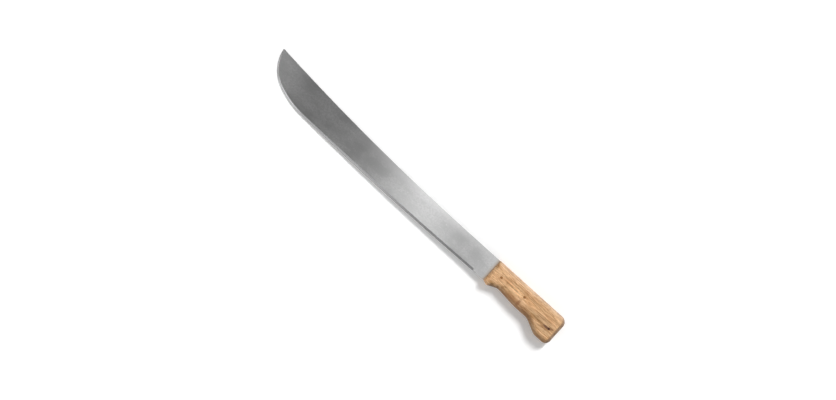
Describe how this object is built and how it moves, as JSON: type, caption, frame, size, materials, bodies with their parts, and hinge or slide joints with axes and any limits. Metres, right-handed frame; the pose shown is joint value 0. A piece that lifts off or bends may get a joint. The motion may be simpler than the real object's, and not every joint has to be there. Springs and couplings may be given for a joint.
{
  "type": "machete",
  "caption": "Machete with a long, slightly upswept sheet-steel blade on a full tang, held between flared wooden scales by peened pins.",
  "frame": {"origin": "middle of the outline's bounding box, on the plane of the bottom scale's flat outer face", "axes": "+X along the handle's straight back from the pommel to the point, +Y from the back to the cutting edge, +Z through the thickness, up from the face that the handle lies on"},
  "size_m": [0.5904, 0.0668, 0.0226],
  "materials": {
    "blade_steel": "satin, ground and lightly scuffed",
    "handle_wood": "plain sanded hardwood with a straight grain",
    "pin_iron": "dark, browned iron, peened ends"
  },
  "bodies": {
    "root": {"blade": "blade_steel", "top_scale": "handle_wood", "bottom_scale": "handle_wood", "front_pin": "pin_iron", "middle_pin": "pin_iron", "rear_pin": "pin_iron"}
  },
  "joints": []
}
